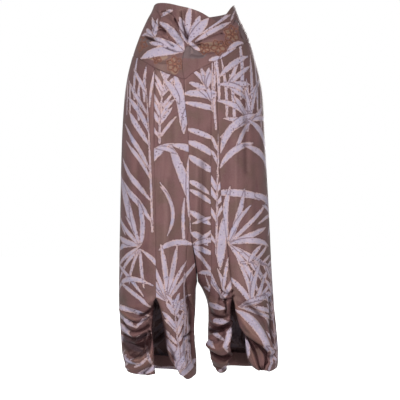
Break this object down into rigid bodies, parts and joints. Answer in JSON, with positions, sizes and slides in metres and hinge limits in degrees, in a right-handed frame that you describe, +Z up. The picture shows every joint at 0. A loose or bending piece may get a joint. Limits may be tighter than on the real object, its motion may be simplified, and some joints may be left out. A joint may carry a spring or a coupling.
{
  "type": "harem pants",
  "caption": "Loose full-length trousers with a crossed gathered yoke, a low gusseted crotch and slit legs whose hems turn under.",
  "frame": {"origin": "centre of the waist opening, level with the waist edge at the sides", "axes": "+Z up, out of the waist; the front faces -Y; +X is to the wearer's left"},
  "size_m": [0.4374, 0.2483, 1.0195],
  "materials": {
    "print_satin": "soft satin weave, cocoa brown with a lilac-grey palm leaf print"
  },
  "bodies": {
    "root": {"yoke_front_right": "print_satin", "yoke_front_left": "print_satin", "yoke_back": "print_satin", "front_outer_right": "print_satin", "front_inner_right": "print_satin", "gusset_right": "print_satin", "front_outer_left": "print_satin", "front_inner_left": "print_satin", "gusset_left": "print_satin", "back_right": "print_satin", "back_left": "print_satin", "hem_turn_left": "print_satin"}
  },
  "joints": []
}
